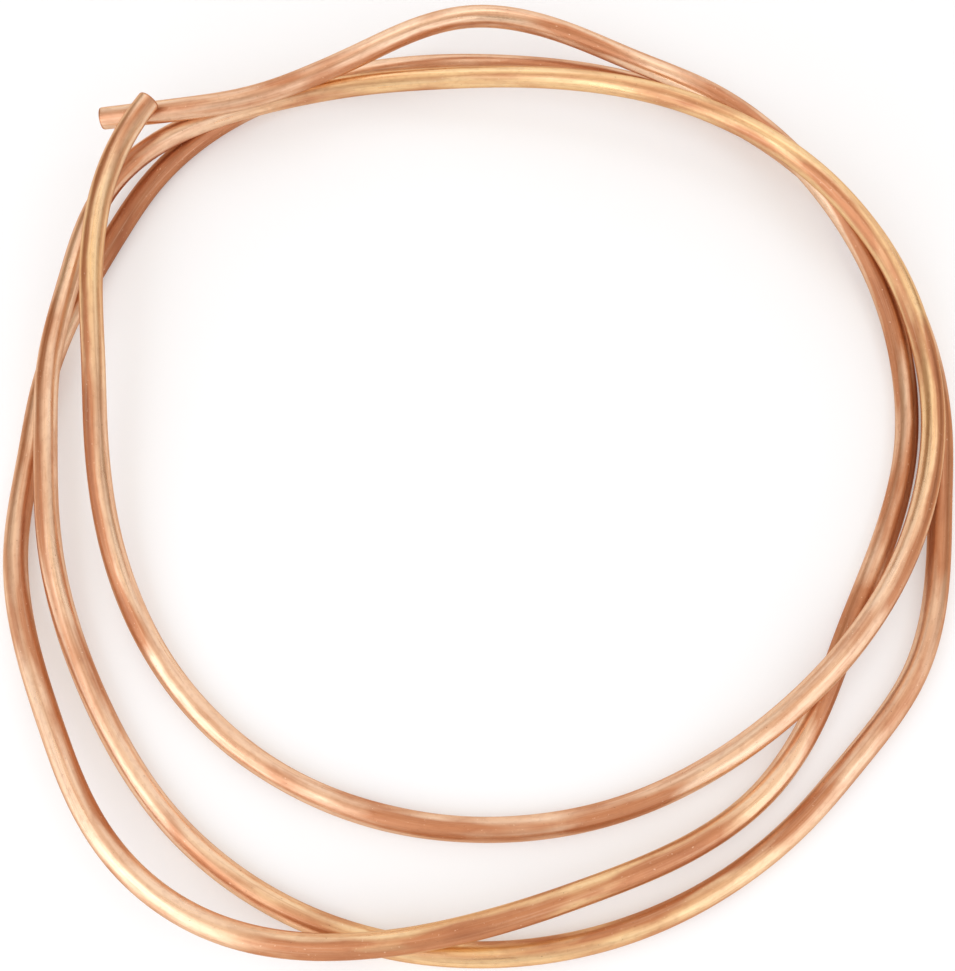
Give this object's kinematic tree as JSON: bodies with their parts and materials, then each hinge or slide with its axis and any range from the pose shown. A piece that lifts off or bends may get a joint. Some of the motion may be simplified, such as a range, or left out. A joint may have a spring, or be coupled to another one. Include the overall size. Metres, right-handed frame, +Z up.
{
  "type": "copper tube coil",
  "caption": "Loose coil of bare soft copper tube, round in section, with its ends cut square and an open bore.",
  "frame": {"origin": "middle of the coil's overall outline in plan, on the level floor it lies on", "axes": "+Z up, the way the coil's turns lie on each other; +X to the right and +Y away from the viewer, with the cut ends at the far left"},
  "size_m": [0.3238, 0.342, 0.0333],
  "materials": {
    "copper": "bare bright copper, drawn, lightly tarnished and handled"
  },
  "bodies": {
    "root": {"copper_tube": "copper"}
  },
  "joints": []
}
